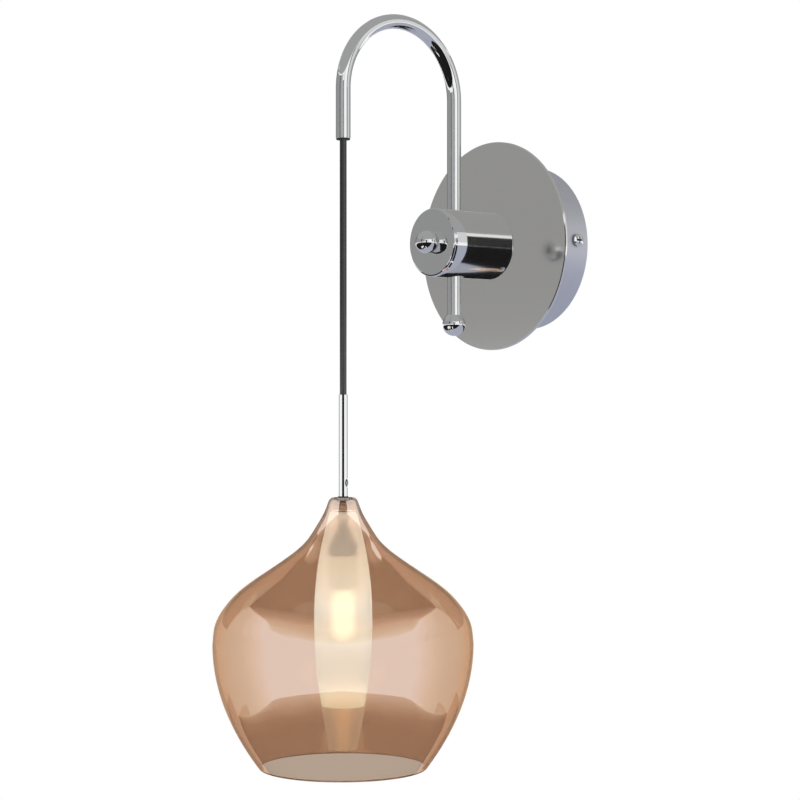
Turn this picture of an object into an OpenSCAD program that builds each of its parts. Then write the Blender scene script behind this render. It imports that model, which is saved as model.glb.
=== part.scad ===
// Wall sconce with a crook arm, a cord pendant and a two-glass shade.
// Millimetres. The wall is the plane y = 0, the sconce stands out towards -Y, and +Z is up.
// The origin is the middle of the two wall slots.

/* [Wall plate and drum] */
// Outer diameter of the drum against the wall
canopy_d = 100; // [90:1:120]
// Depth of the drum, from the wall to the back of the disc
canopy_depth = 30.5; // [28:0.5:40]
// Sheet thickness of the drum
canopy_wall = 1.2; // [0.8:0.1:2]
// Diameter of the polished disc in front of the drum
disc_d = 127; // [115:1:150]
// Thickness of the disc
disc_t = 2; // [1.5:0.1:3]
// Distance between the two wall slots
slot_spacing = 64; // [58:1:70]
// Width of a wall slot
slot_w = 5; // [4:0.5:6]
// Length of a wall slot, end to end
slot_l = 12; // [9:0.5:14]
// Sheet thickness of the wall plate
plate_t = 2; // [1.5:0.1:3]
// Width of the hole for the supply cable
entry_d = 12; // [8:0.5:14]
// Distance of the side screws from the wall
side_screw_out = 9; // [8:0.5:12]
// Height of the side screws above the drum's centre
side_screw_z = 2; // [-3:0.5:3]

/* [Holder] */
// Diameter of the horizontal holder
holder_d = 41; // [38:0.5:48]
// Length of the holder, from the disc to its front face
holder_l = 49; // [47:0.5:60]
// Bore of the hollow inside the holder
holder_bore = 28; // [26:0.5:30]
// Thickness of the holder's back wall
holder_back = 8; // [7:0.5:9]
// Radius of the holder's back edge
holder_edge = 2; // [1:0.2:2.6]
// Distance from the disc to the arm's axis
arm_seat = 31; // [29.5:0.5:32]
// Thickness of the front cap's flange
cap_t = 1.8; // [1.4:0.1:3]
// Depth of the front cap's spigot
cap_spigot = 5; // [3:0.5:6]
// Diameter of the clamp knob's ball
knob_d = 13.5; // [12:0.5:18]
// Diameter of the clamp stud
stud_d = 5; // [4:0.5:6]
// Pitch of the clamp stud's thread
stud_pitch = 0.8; // [0.5:0.05:1]

/* [Arm] */
// Outer diameter of the arm tube
tube_d = 8.5; // [7:0.5:9]
// Wall of the arm tube
tube_wall = 0.8; // [0.6:0.1:1]
// Centre-line radius of the crook
arch_r = 43; // [38:1:60]
// Height of the crook's centre above the holder's axis
arch_z = 85.5; // [75:0.5:120]
// Height of the tube's mouth above the holder's axis
mouth_z = 56.5; // [50:0.5:70]
// Drop of the end ball's centre below the holder's axis
foot_drop = 48.5; // [46:0.5:60]
// Diameter of the end ball
foot_d = 14; // [12:0.5:18]
// Height that the arm can be raised
arm_travel = 12; // [6:0.5:13]
// Outer diameter of the arm's liner
liner_d = 12; // [11:0.2:13]

/* [Cord and stem] */
// Diameter of the cord
cord_d = 4; // [3.6:0.1:4.2]
// Outer diameter of the stem
stem_d = 5; // [4.8:0.1:6]
// Length of the stem
stem_l = 58.4; // [50:0.2:80]
// Outer diameter of the threaded rod under the stem
rod_d = 4; // [3.6:0.1:4]
// Bore of the threaded rod
rod_bore = 2.8; // [2.6:0.1:3]

/* [Shade] */
// Widest diameter of the outer glass
shade_d = 150; // [130:1:200]
// Height of the outer glass
shade_h = 155; // [140:1:200]
// Depth of the widest place below the neck's top
shade_belly = 84; // [70:1:110]
// Diameter of the bottom rim
rim_d = 95; // [80:1:120]
// Diameter of the neck
neck_d = 17.7; // [17.3:0.1:22]
// Thickness of the outer glass
shade_wall = 2; // [1.6:0.1:3]
// Radius of the neck's shoulder
neck_round = 3.5; // [3:0.1:4]

/* [Inner glass] */
// Widest diameter of the inner glass
inner_d = 33.5; // [30:0.5:44]
// Height of the inner glass
inner_h = 112; // [100:1:125]
// Depth of its widest place below its top
inner_belly = 61; // [50:1:70]
// Diameter of its top
inner_top_d = 16; // [14:0.2:18]
// Diameter of its rim
inner_rim_d = 24.5; // [22:0.5:30]
// Thickness of the inner glass
inner_wall = 1.6; // [1.2:0.1:2]

/* [Lampholder and bulb] */
// Outer diameter of the lampholder
socket_d = 16.6; // [16:0.2:18]
// Height of the lampholder's cup
cup_h = 21; // [19:0.5:26]
// Height of the ceramic below the cup
ceramic_h = 19; // [18:0.5:22]
// Diameter of the bulb
bulb_d = 13.5; // [12:0.5:14]
// Length of the bulb below the lampholder
bulb_l = 29; // [24:0.5:34]

/* [Hidden] */
$fn = 72;
eps = 0.01;
run_fit = 0.05;
free_gap = 0.3;
push_fit = 0.02;

chrome = [0.80, 0.81, 0.83];
zinc = [0.70, 0.71, 0.72];
white = [0.93, 0.93, 0.90];
black = [0.07, 0.07, 0.08];
gold = [0.80, 0.65, 0.32];
copper_glass = [0.79, 0.55, 0.44, 0.45];
frosted = [0.97, 0.93, 0.84, 0.75];
clear = [0.92, 0.95, 0.96, 0.4];

canopy_r = canopy_d / 2;
canopy_in = canopy_r - canopy_wall;
canopy_edge = 1.6;
disc_back = canopy_depth;
disc_front = disc_back + disc_t;
disc_bevel = 0.4;

tab_w = 12;
tab_out = side_screw_out + tab_w / 2;
tab_fit = 0.15;
tab_reach = abs(side_screw_z) + tab_w / 2;
tab_x = sqrt(pow(canopy_in - tab_fit, 2) - pow(tab_reach, 2));
bend_r = 1.5;
plate_x = 23;
plate_low = -12;
plate_high = 24;
side_screw_r = 2;
side_screw_in = 7;
side_head_r = 3.8;
side_head_h = 2.4;

block_x = 27;
block_z = 12;
block_s = 13;
block_base = 6;
block_mid = 15;
pole_pitch = 9;
pole_w = 7.6;
wire_hole_r = 1.7;
block_wire_s = plate_t + 5.5;
block_screw_r = 1.6;
insert_r = 2.6;
insert_len = 10.4;
block_screw_dz = 3;
block_low = block_mid - block_z / 2;

earth_x = 16;
earth_z = -6;
earth_r = 2;
earth_head_r = 3.9;
earth_head_h = 2.4;
earth_washer_r = 4.6;
earth_washer_t = 0.8;

nipple_r = 5;
nipple_bore = 3.6;
nut_t = 4;
nut_af = 14;
lock_t = 1;
lock_r = 8.6;
front_in = canopy_depth - canopy_wall;
nipple_start = front_in - lock_t - nut_t - 4;
hole_slack = 0.15;

holder_r = holder_d / 2;
bore_r = holder_bore / 2;
holder_front = disc_front + holder_l;
cap_back = holder_front - cap_t;
chamber_back = disc_front + holder_back;
arm_out = disc_front + arm_seat;
seam = 0.7;
cap_edge = 1.1;
grub_r = 2;
grub_angle = -47;
grub_sink = 1.2;
grub_key = 2;
grub_out = disc_front + holder_back / 2 + 0.5;

liner_r = liner_d / 2 - run_fit;
tube_r = tube_d / 2;
tube_in = tube_r - tube_wall;
liner_in = tube_r + run_fit;
liner_sink = 0.3;
liner_end = sqrt(pow(holder_r, 2) - pow(liner_d / 2, 2)) - liner_sink;
key_w = 4.6;
key_play = 0.1;
key_z = 5;
key_open = 2.4;
slot_play = 0.2;
slot_top = key_z + slot_play;
slot_low = -key_z - arm_travel - slot_play;
clip_t = 0.8;
clip_w = 1.5;
clip_depth = 0.5;
clip_gap = 5;
clip_r = liner_r + clip_w;
clip_z = sqrt(pow(bore_r, 2) - pow(clip_r, 2)) - clip_t - 0.2;

pad_r = 4;
pad_t = 2.2;
pad_start = arm_out + liner_r + run_fit;
pad_end = pad_start + pad_t;
tip_r = 1.5;
tip_len = 1.2;
stud_r = stud_d / 2;
stud_start = pad_end + run_fit;
knob_r = knob_d / 2;
knob_flat = 3.6;
knob_gap = 0.5;
knob_back = holder_front + knob_gap;
knob_mid = knob_back + knob_flat;
stud_end = knob_mid + 2;

foot_r = foot_d / 2;
tube_foot = -foot_drop + sqrt(pow(foot_r, 2) - pow(tube_r, 2)) - 0.8;
foot_spigot = 9;
pendant_out = arm_out + 2 * arch_r;

cord_r = cord_d / 2;
pivot_z = 58;
bush_flange = 0.9;
bush_lip = 0.25;
bush_top = pivot_z - 0.6;
bush_flare = tan(19.5);
bush_fit = cord_r / cos(19.5) + 0.05;
grip_r = tube_in - 0.1;
grip_in = cord_r + run_fit;
grip_low = 0.5;
grip_cut = 2.5;
lead_end = pivot_z + grip_r + 0.1;
lead_start = 8;
anchor_l = 5;

// Route of the hanging cord, from its dome in the tube's mouth to the stem
cord_route = [
    [0, -149.5, 58],
    [0, -149.5, 48],
    [0, -149.5, 38],
    [0, -149.5, 28],
    [0, -149.5, 18],
    [0, -149.5, 8],
    [0, -149.5, -2],
    [0, -149.5, -12],
    [0, -149.5, -22],
    [0, -149.5, -32],
    [0, -149.5, -42],
    [0, -149.5, -52],
    [0, -149.5, -62],
    [0, -149.5, -72],
    [0, -149.5, -82],
    [0, -149.5, -91]
];
cord_sides = 12;

stem_r = stem_d / 2;
stem_top = -91;
stem_foot = stem_top - stem_l;
stem_seat = 2;
rod_r = rod_d / 2;
stem_bore = rod_r + run_fit;
rod_in = rod_bore / 2;
rod_top = stem_foot + 14;
stem_screw_z = stem_foot + 7.7;
stem_screw_angle = 49;
stem_screw_r = 1.25;
stem_head_r = 2.7;
stem_head_h = 0.9;
stem_flat = 0.5;

top_washer_t = 0.6;
top_washer_r = 2.9;
shade_top = stem_foot - top_washer_t;
shade_r = shade_d / 2;
rim_r = rim_d / 2;
neck_r = neck_d / 2;
neck_h = 3.5;
rod_hole = rod_r + 0.25;
neck_washer_t = 0.8;
neck_hollow = neck_round - 1.5;
neck_washer_r = neck_r - shade_wall - neck_hollow - 0.05;
neck_nut_t = 5;
neck_nut_r = neck_r - shade_wall - 0.35;
seat_washer_t = 0.6;
seat_washer_r = 6;
under_neck = shade_top - shade_wall;
nut_top = under_neck - neck_washer_t;
nut_low = nut_top - neck_nut_t;
inner_top = nut_low - seat_washer_t;
inner_r = inner_d / 2;
inner_under = inner_top - inner_wall;
inner_washer_t = 0.6;
inner_washer_r = 4.6;
jam_t = 2.4;
jam_af = 7;
jam_low = inner_under - inner_washer_t - jam_t;

// Outline of the shade from its neck to its widest place:
// share of the drop, then share of the growth in radius
flare = [
    [0, 0],
    [0.07, 0.034],
    [0.145, 0.086],
    [0.255, 0.173],
    [0.33, 0.263],
    [0.404, 0.383],
    [0.478, 0.516],
    [0.553, 0.652],
    [0.627, 0.769],
    [0.702, 0.859],
    [0.79, 0.937],
    [0.88, 0.983],
    [1, 1]
];
flare_steps = 2;
bowl_steps = 14;

cup_neck_r = rod_r + 0.7;
cup_neck = 5;
cup_cone = 9;
cup_wall = 0.8;
socket_r = socket_d / 2;
cup_top = jam_low;
cup_low = cup_top - cup_h;
socket_low = cup_low - ceramic_h;
socket_in = socket_r - cup_wall;
plug_h = 5;
rod_foot = cup_top - cup_neck - 1;
recess_x = 12.6;
recess_y = 5.6;
recess_h = 14;
pin_gap = 9;
pin_loop = 1.5;
pin_wire = 0.45;
pin_h = 6.5;
pin_well_r = pin_loop + pin_wire + 0.15;
cup_screw_r = 1.1;
cup_screw_head = 1.9;
cup_screw_head_h = 0.8;

bulb_r = bulb_d / 2;
bulb_gap = 0.6;
bulb_wall = 0.9;
bulb_shoulder = 3.5;
pinch_x = 11.4;
pinch_y = 4.6;
pinch_top = socket_low + recess_h - 1.4;
bulb_top = socket_low - bulb_gap;
bulb_low = socket_low - bulb_l;
bulb_tip = 1.1;
filament_r = 0.55;
filament_l = 9;
support_r = 0.25;

wire_r = 0.65;
wire_x = 0.7;
wire_end = -11.4;
lead_wire_r = 0.9;
lead_wire_x = 1;
lead_wire_sides = 8;
meet_out = arm_out - liner_r - 2;

// Turns a shape drawn along +Z so that it stands out from the wall
module outward() {
    rotate([90, 0, 0]) children();
}

// Moves a shape onto the pendant's axis
module on_pendant() {
    translate([0, -pendant_out, 0]) children();
}

module on_arm_axis() {
    translate([0, -arm_out, 0]) children();
}

// A washer or a tube standing on z = 0
module ring(outer, inner, h) {
    difference() {
        cylinder(r = outer, h = h);
        translate([0, 0, -1]) cylinder(r = inner, h = h + 2);
    }
}

// A hexagon across flats
module hexagon(af) {
    intersection() {
        square([af, 2 * af], center = true);
        rotate(60) square([af, 2 * af], center = true);
        rotate(120) square([af, 2 * af], center = true);
    }
}

module hex_nut(af, inner, h) {
    chamfer = 0.08 * af;
    difference() {
        intersection() {
            linear_extrude(h) hexagon(af);
            union() {
                cylinder(r1 = af / 2 - 0.1, r2 = af / 2 + chamfer, h = h / 4);
                translate([0, 0, h / 4]) cylinder(r = af, h = h / 2);
                translate([0, 0, 3 * h / 4]) cylinder(r1 = af / 2 + chamfer, r2 = af / 2 - 0.1, h = h / 4);
            }
        }
        translate([0, 0, -1]) cylinder(r = inner, h = h + 2);
    }
}

// A pan head with a cross recess, its seat on z = 0
module pan_head(r, h) {
    dome = (r * r + h * h) / (2 * h) * 1.6;
    difference() {
        intersection() {
            cylinder(r = r, h = h);
            translate([0, 0, h - dome]) sphere(r = dome);
        }
        for (turn = [0, 90]) {
            rotate(turn) translate([-0.55 * r, -0.14 * r, 0.4 * h]) cube([1.1 * r, 0.28 * r, h]);
        }
    }
}

function arc(cx, cy, r, from, to, steps) = [
    for (i = [0 : steps]) let (a = from + (to - from) * i / steps) [cx + r * cos(a), cy + r * sin(a)]
];

// One span of a smooth curve through four points
function blend_point(a, b, c, d, t) =
    0.5 * (2 * b + t * (c - a) + t * t * (2 * a - 5 * b + 4 * c - d)
    + t * t * t * (3 * b - a - 3 * c + d));

function smooth(points, steps) = concat([
    for (i = [0 : len(points) - 2])
        for (k = [0 : steps - 1])
            blend_point(
                points[max(i - 1, 0)], points[i], points[i + 1], points[min(i + 2, len(points) - 1)],
                k / steps
            )
], [points[len(points) - 1]]);

function unit(v) = v / norm(v);

function heading(points, i) = unit(points[min(i + 1, len(points) - 1)] - points[max(i - 1, 0)]);

// A ring of points round one place on a route
function ring_points(centre, along, r, sides) =
    let (side = unit(cross(along, [1, 0, 0])), up = cross(side, along))
    [for (k = [0 : sides - 1]) centre + r * (cos(360 * k / sides) * side + sin(360 * k / sides) * up)];

function tube_faces(rings, sides) = concat(
    [[for (k = [0 : sides - 1]) k]],
    [
        for (i = [0 : rings - 2])
            for (k = [0 : sides - 1])
                let (a = i * sides + k, b = i * sides + (k + 1) % sides)
                each [[b, a, a + sides], [b, a + sides, b + sides]]
    ],
    [[for (k = [sides - 1 : -1 : 0]) (rings - 1) * sides + k]]
);

// A round tube swept along a route, with a radius for each of its points
module swept(route, radii, sides) {
    points = [
        for (i = [0 : len(route) - 1]) each ring_points(route[i], heading(route, i), radii[i], sides)
    ];
    polyhedron(points = points, faces = tube_faces(len(route), sides));
}

module wire(route, r, sides) {
    swept(route, [for (p = route) r], sides);
}

// How far an outer line drops so that its rounded rim ends at the full drop
function rim_drop(full, pull, wall) = full - wall / 2 * (1 - sin(atan2(2 * pull, full)));

// The outer line of the shade, from under its neck down to its rim
function shade_line() =
    let (
        belly = shade_top - shade_belly,
        start = shade_top - neck_h,
        drop = rim_drop(shade_h - shade_belly, shade_r - rim_r, shade_wall),
        upper = [
            for (p = smooth(flare, flare_steps))
                [neck_r + (shade_r - neck_r) * p[1], start + (belly - start) * p[0]]
        ],
        lower = [
            for (i = [1 : bowl_steps]) let (u = i / bowl_steps)
                [shade_r - (shade_r - rim_r) * u * u, belly - drop * u]
        ]
    )
    concat(upper, lower);

// The same line, set in by the glass's thickness
function inset(line, t) = [
    for (i = [0 : len(line) - 1])
        let (along = heading(line, i)) line[i] + t * [along[1], -along[0]]
];

function reversed(list) = [for (i = [len(list) - 1 : -1 : 0]) list[i]];

// A rounded glass edge that joins the ends of two lines
function lip(outer, inner) =
    let (mid = (outer + inner) / 2, r = norm(outer - inner) / 2, start = atan2(outer[1] - mid[1], outer[0] - mid[0]))
    [for (i = [1 : 4]) mid + r * [cos(start - 36 * i), sin(start - 36 * i)]];

module wall_plate() {
    color(zinc) {
        difference() {
            outward() union() {
                linear_extrude(plate_t) difference() {
                    union() {
                        translate([-plate_x, plate_low]) square([2 * plate_x, plate_high - plate_low]);
                        translate([-tab_x + bend_r, side_screw_z - tab_w / 2]) square([2 * (tab_x - bend_r), tab_w]);
                    }
                    circle(d = entry_d);
                    for (side = [-1, 1]) translate([side * slot_spacing / 2, 0]) {
                        square([slot_l - slot_w, slot_w], center = true);
                        for (end = [-1, 1]) translate([end * (slot_l - slot_w) / 2, 0]) circle(d = slot_w);
                    }
                    translate([earth_x, earth_z]) circle(r = earth_r);
                }
            }
        }
        for (side = [0, 1]) mirror([side, 0, 0]) plate_tab();
    }
}

// One bent end of the wall plate, tapped for a side screw
module plate_tab() {
    outer = bend_r + plate_t;
    difference() {
        translate([0, 0, side_screw_z - tab_w / 2]) linear_extrude(tab_w) {
            translate([tab_x - bend_r - plate_t, -outer]) intersection() {
                difference() {
                    circle(r = outer);
                    circle(r = bend_r);
                }
                square([outer, outer]);
            }
            translate([tab_x - plate_t, -tab_out]) square([plate_t, tab_out - outer]);
            translate([tab_x - 2 * outer, -plate_t]) square([outer, plate_t]);
        }
        translate([0, -side_screw_out, side_screw_z]) rotate([0, 90, 0]) cylinder(r = side_screw_r, h = canopy_r);
    }
}

module canopy() {
    turn = canopy_edge;
    inside = canopy_edge - canopy_wall;
    color(chrome) difference() {
        outward() rotate_extrude() polygon(concat(
            [[nipple_r + hole_slack, front_in], [nipple_r + hole_slack, canopy_depth]],
            arc(canopy_r - turn, canopy_depth - turn, turn, 90, 0, 5),
            [[canopy_r, 0], [canopy_in, 0]],
            arc(canopy_in - inside, front_in - inside, inside, 0, 90, 2)
        ));
        for (side = [-1, 1]) translate([0, -side_screw_out, side_screw_z]) rotate([0, side * 90, 0])
            translate([0, 0, tab_x - 1]) cylinder(r = side_screw_r + hole_slack, h = canopy_r);
    }
}

module canopy_screws() {
    color(chrome) for (side = [-1, 1]) translate([0, -side_screw_out, side_screw_z]) rotate([0, side * 90, 0]) {
        translate([0, 0, canopy_r - side_screw_in]) cylinder(r = side_screw_r, h = side_screw_in);
        translate([0, 0, canopy_r]) rotate(30) pan_head(side_head_r, side_head_h);
    }
}

module front_disc() {
    r = disc_d / 2;
    color(chrome) outward() rotate_extrude() polygon([
        [nipple_r + hole_slack, disc_back],
        [r - disc_bevel, disc_back],
        [r, disc_back + disc_bevel],
        [r, disc_front - disc_bevel],
        [r - disc_bevel, disc_front],
        [nipple_r + hole_slack, disc_front]
    ]);
}

module terminal_block() {
    color(white) outward() difference() {
        union() {
            translate([-block_x / 2, block_low, plate_t]) cube([block_x, block_z, block_base]);
            for (pole = [-1 : 1]) translate([pole * pole_pitch - pole_w / 2, block_low, plate_t])
                cube([pole_w, block_z, block_s]);
        }
        for (pole = [-1 : 1]) translate([pole * pole_pitch, block_mid, 0]) {
            translate([0, -block_z / 2 - 1, block_wire_s]) rotate([-90, 0, 0]) cylinder(r = wire_hole_r, h = block_z + 2);
            translate([0, -insert_len / 2, block_wire_s]) rotate([-90, 0, 0]) cylinder(r = insert_r, h = insert_len);
            for (end = [-1, 1]) translate([0, end * block_screw_dz, block_wire_s])
                cylinder(r = block_screw_r + hole_slack, h = block_s);
        }
    }
}

module terminal_inserts() {
    color(gold) outward() for (pole = [-1 : 1]) translate([pole * pole_pitch, block_mid, block_wire_s]) difference() {
        translate([0, -insert_len / 2, 0]) rotate([-90, 0, 0]) ring(insert_r, wire_hole_r, insert_len);
        for (end = [-1, 1]) translate([0, end * block_screw_dz, 0]) cylinder(r = block_screw_r, h = block_s);
    }
}

module terminal_screws() {
    top = plate_t + block_s - 2;
    color(zinc) outward() for (pole = [-1 : 1]) for (end = [-1, 1])
        translate([pole * pole_pitch, block_mid + end * block_screw_dz, 0]) difference() {
            translate([0, 0, block_wire_s + 0.9]) cylinder(r = block_screw_r, h = top - block_wire_s - 0.9);
            translate([-block_screw_r, -0.25, top - 0.8]) cube([2 * block_screw_r, 0.5, 1]);
        }
}

module earth_screw() {
    color(zinc) outward() translate([earth_x, earth_z, 0]) {
        cylinder(r = earth_r, h = plate_t + earth_washer_t);
        translate([0, 0, plate_t]) cylinder(r = earth_washer_r, h = earth_washer_t);
        translate([0, 0, plate_t + earth_washer_t]) pan_head(earth_head_r, earth_head_h);
    }
}

module nipple() {
    color(zinc) outward() translate([0, 0, nipple_start]) ring(nipple_r, nipple_bore, chamber_back - nipple_start);
}

module nipple_nut() {
    color(zinc) outward() translate([0, 0, front_in - lock_t - nut_t]) hex_nut(nut_af, nipple_r, nut_t);
}

module lock_washer() {
    teeth = 12;
    color(zinc) outward() translate([0, 0, front_in - lock_t]) difference() {
        ring(lock_r, nipple_r + hole_slack, lock_t);
        for (i = [0 : teeth - 1]) rotate(360 * i / teeth) translate([lock_r, 0, -1])
            cylinder(r = 0.9, h = lock_t + 2);
    }
}

module holder() {
    e = holder_edge;
    color(chrome) difference() {
        outward() difference() {
            rotate_extrude() polygon(concat(
                [[nipple_r, disc_front]],
                arc(holder_r - e, disc_front + e, e, -90, 0, 6),
                [[holder_r, cap_back - seam], [holder_r - seam, cap_back], [bore_r, cap_back]],
                [[bore_r, chamber_back], [nipple_r, chamber_back]]
            ));
            translate([0, 0, grub_out]) rotate([0, 90, grub_angle]) translate([0, 0, nipple_r - 1])
                cylinder(r = grub_r, h = holder_r);
        }
        on_arm_axis() translate([0, 0, -holder_r]) cylinder(d = liner_d, h = holder_d);
    }
}

module holder_grub() {
    length = holder_r - nipple_r - grub_sink;
    color(zinc) outward() translate([0, 0, grub_out]) rotate([0, 90, grub_angle]) translate([0, 0, nipple_r])
        difference() {
            cylinder(r = grub_r, h = length);
            translate([0, 0, length - 2]) linear_extrude(3) hexagon(grub_key);
        }
}

module holder_cap() {
    color(chrome) outward() rotate_extrude() polygon(concat(
        [[stud_r + run_fit, cap_back - cap_spigot], [bore_r - 0.5, cap_back - cap_spigot]],
        [[bore_r - push_fit, cap_back - cap_spigot + 0.5], [bore_r - push_fit, cap_back], [holder_r - seam, cap_back]],
        [[holder_r, cap_back + seam]],
        arc(holder_r - cap_edge, holder_front - cap_edge, cap_edge, 0, 90, 5),
        [[stud_r + run_fit, holder_front]]
    ));
}

// The cord's two cores from the terminal block, through the nipple, to the arm
module feed_wires() {
    for (side = [-1, 1]) {
        route = smooth([
            [side * pole_pitch, -block_wire_s, block_mid - 1.5],
            [side * pole_pitch, -block_wire_s, block_low - 1],
            [side * pole_pitch * 0.9, -block_wire_s - 1, block_low - 4],
            [side * 5, -block_wire_s - 4, 2],
            [side * 1.6, -nipple_start + 2, 0.3],
            [side * lead_wire_x, -nipple_start - 4, 0],
            [side * lead_wire_x, -chamber_back, 0],
            [side * lead_wire_x, -meet_out + free_gap, 0]
        ], 3);
        color(side > 0 ? [0.42, 0.26, 0.15] : [0.20, 0.35, 0.66]) wire(route, lead_wire_r, lead_wire_sides);
    }
}

module clamp_pad() {
    color(gold) outward() translate([0, 0, pad_start]) difference() {
        cylinder(r = pad_r, h = pad_t);
        translate([0, 0, pad_t - tip_len - run_fit]) cylinder(r = tip_r + run_fit, h = pad_t);
    }
}

module clamp_stud() {
    color(chrome) outward() union() {
        translate([0, 0, stud_start]) cylinder(r = stud_r, h = stud_end - stud_start);
        translate([0, 0, stud_start - tip_len]) cylinder(r = tip_r, h = tip_len + eps);
    }
}

module clamp_knob() {
    color(chrome) outward() difference() {
        translate([0, 0, knob_mid]) sphere(r = knob_r);
        translate([0, 0, knob_back - knob_d]) cylinder(r = knob_d, h = knob_d);
        translate([0, 0, knob_back - 1]) cylinder(r = stud_r, h = stud_end - knob_back + 1);
    }
}

module arm_liner() {
    color(white) on_arm_axis() difference() {
        union() {
            translate([0, 0, -liner_end]) ring(liner_r, liner_in, 2 * liner_end);
            for (end = [0, 1]) mirror([0, 0, end]) intersection() {
                translate([-key_w / 2, 0, key_open]) cube([key_w, liner_r, key_z - key_open]);
                ring(liner_in + eps, tube_in + 0.1, key_z + 1);
            }
        }
        rotate([-90, 0, 0]) cylinder(r = key_open - 0.1, h = liner_d);
        for (end = [-1, 1]) translate([0, 0, end * clip_z - clip_t / 2]) difference() {
            cylinder(r = liner_r + 1, h = clip_t);
            translate([0, 0, -1]) cylinder(r = liner_r - clip_depth, h = clip_t + 2);
        }
    }
}

// Two open rings that keep the liner from sliding out of the holder
module liner_clips() {
    color(zinc) on_arm_axis() for (end = [-1, 1]) translate([0, 0, end * clip_z - clip_t / 2]) difference() {
        ring(clip_r, liner_r - clip_depth, clip_t);
        translate([-clip_gap / 2, -clip_r - 1, -1]) cube([clip_gap, clip_r, clip_t + 2]);
    }
}

// The two cores where they pass through the liner's window into the tube
module link_wires() {
    for (side = [-1, 1]) {
        route = smooth([
            [side * lead_wire_x, -arm_out, lead_start - free_gap],
            [side * lead_wire_x, -arm_out, lead_start - 3],
            [side * lead_wire_x, -arm_out + 0.8, 2.2],
            [side * lead_wire_x, -arm_out + 3.2, 0.3],
            [side * lead_wire_x, -arm_out + 5.4, 0],
            [side * lead_wire_x, -meet_out, 0]
        ], 3);
        color(side > 0 ? [0.42, 0.26, 0.15] : [0.20, 0.35, 0.66]) wire(route, lead_wire_r, lead_wire_sides);
    }
}

module section(outer, bore) {
    difference() {
        circle(r = outer);
        if (bore > 0) circle(r = bore);
    }
}

// A straight length on the arm's axis that ends where the arch starts
module long_leg(outer, bore, foot) {
    on_arm_axis() translate([0, 0, arch_z]) mirror([0, 0, 1]) linear_extrude(arch_z - foot)
        section(outer, bore);
}

// The arch and the short leg over the pendant
module arch(outer, bore, mouth) {
    translate([0, -arm_out - arch_r, arch_z]) rotate([90, 0, 90]) rotate_extrude(angle = 180)
        translate([arch_r, 0]) section(outer, bore);
    on_pendant() translate([0, 0, mouth]) linear_extrude(arch_z - mouth) section(outer, bore);
}

module arm_tube() {
    key_slot = key_w + 2 * key_play;
    color(chrome) {
        difference() {
            long_leg(tube_r, tube_in, tube_foot);
            on_arm_axis() translate([-key_slot / 2, 0, slot_low]) cube([key_slot, tube_d, slot_top - slot_low]);
        }
        arch(tube_r, tube_in, mouth_z);
    }
}

module end_ball() {
    color(chrome) on_arm_axis() {
        difference() {
            translate([0, 0, -foot_drop]) sphere(r = foot_r);
            translate([0, 0, tube_foot]) cylinder(r = tube_r + push_fit, h = foot_d);
        }
        translate([0, 0, tube_foot - 1]) cylinder(r = tube_in - push_fit, h = foot_spigot + 1);
    }
}

// A soft bush whose bell mouth lets the cord lean every way
module cord_bush() {
    low = mouth_z - bush_flange;
    color(black) on_pendant() rotate_extrude() polygon([
        [bush_fit + (pivot_z - bush_top) * bush_flare, bush_top],
        [bush_fit + (pivot_z - low) * bush_flare, low],
        [tube_r - bush_lip, low],
        [tube_r - bush_lip, mouth_z],
        [tube_in, mouth_z],
        [tube_in, bush_top]
    ]);
}

// The crimped ferrule that holds the cord in the tube and carries the pendant
module cord_anchor() {
    color(gold) on_pendant() translate([0, 0, lead_end]) ring(tube_in, cord_r, anchor_l);
}

// The jacketed cord inside the tube
module arm_lead() {
    color(black) {
        long_leg(cord_r, 0, lead_start);
        arch(cord_r, 0, lead_end);
    }
}

// The moulded grip that carries the cord's end over the bush
module cord_grip() {
    color(black) on_pendant() translate([0, 0, pivot_z]) difference() {
        intersection() {
            sphere(r = grip_r);
            translate([0, 0, grip_low]) cylinder(r = grip_r, h = grip_cut - grip_low);
        }
        sphere(r = grip_in);
    }
}

module hanging_cord() {
    dome = [for (a = [75 : -25 : 0]) [cos(a), sin(a)]];
    route = concat([for (d = dome) cord_route[0] + [0, 0, cord_r * d[1]]], cord_route);
    radii = concat([for (d = dome) cord_r * d[0]], [for (p = cord_route) cord_r]);
    color(black) swept(route, radii, cord_sides);
}

module stem() {
    color(chrome) on_pendant() difference() {
        translate([0, 0, stem_foot]) cylinder(r = stem_r, h = stem_l);
        translate([0, 0, stem_foot - 1]) cylinder(r = stem_bore, h = rod_top - stem_foot + 1);
        translate([0, 0, stem_foot]) cylinder(r = rod_in, h = stem_l + 1);
        translate([0, 0, stem_screw_z]) rotate([0, 90, stem_screw_angle]) {
            cylinder(r = stem_screw_r, h = stem_d);
            translate([0, 0, stem_r - stem_flat]) cylinder(r = stem_head_r + 0.1, h = stem_d);
        }
    }
}

// The small screw that holds the stem on its rod
module stem_screw() {
    seat = stem_r - stem_flat;
    dome = (stem_head_r * stem_head_r + stem_head_h * stem_head_h) / (2 * stem_head_h);
    color(chrome) on_pendant() translate([0, 0, stem_screw_z]) rotate([0, 90, stem_screw_angle]) {
        translate([0, 0, rod_r]) cylinder(r = stem_screw_r, h = seat - rod_r + eps);
        translate([0, 0, seat]) intersection() {
            cylinder(r = stem_head_r, h = stem_head_h);
            translate([0, 0, stem_head_h - dome]) sphere(r = dome);
        }
    }
}

module top_washer() {
    color(black) on_pendant() translate([0, 0, shade_top]) ring(top_washer_r, rod_r, top_washer_t);
}

module threaded_rod() {
    color(zinc) on_pendant() translate([0, 0, rod_foot]) ring(rod_r, rod_in, rod_top - rod_foot);
}

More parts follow.
